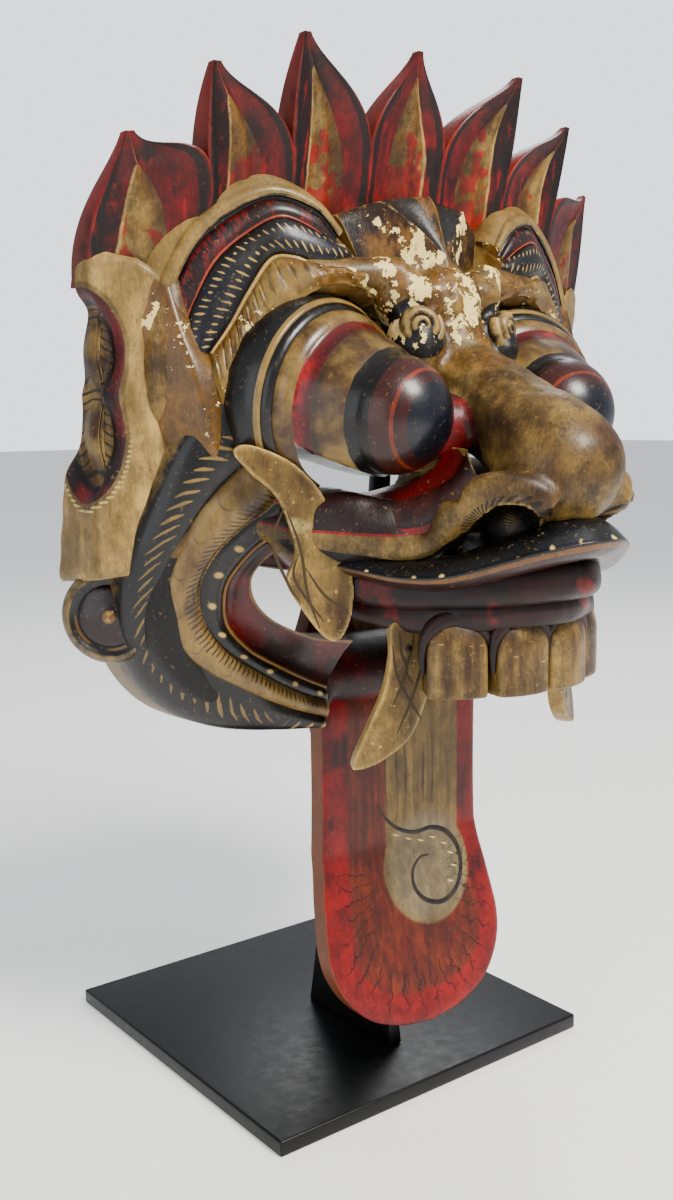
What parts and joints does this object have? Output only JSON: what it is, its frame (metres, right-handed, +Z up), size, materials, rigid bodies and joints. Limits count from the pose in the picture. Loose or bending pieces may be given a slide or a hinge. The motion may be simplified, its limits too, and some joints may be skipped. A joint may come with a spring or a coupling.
{
  "type": "carved mask on a stand",
  "caption": "Carved and painted wooden demon mask with a flame crown, bulging eyes, tusks and a long tongue, on a black steel stand.",
  "frame": {"origin": "centre of the base plate's underside", "axes": "+Z up, the face looks towards -Y, +X is the mask's own left side"},
  "size_m": [0.3182, 0.3016, 0.506],
  "materials": {
    "painted_wood": "hand-painted, varnished, worn and chipped",
    "pale_wood": "thin ochre wash over pale wood, worn edges",
    "black_steel": "satin black paint"
  },
  "bodies": {
    "root": {"mask": "painted_wood", "tusk_right": "pale_wood", "tusk_left": "pale_wood", "fang_right": "pale_wood", "fang_left": "pale_wood", "stand_base": "black_steel", "stand_upright": "black_steel"}
  },
  "joints": []
}
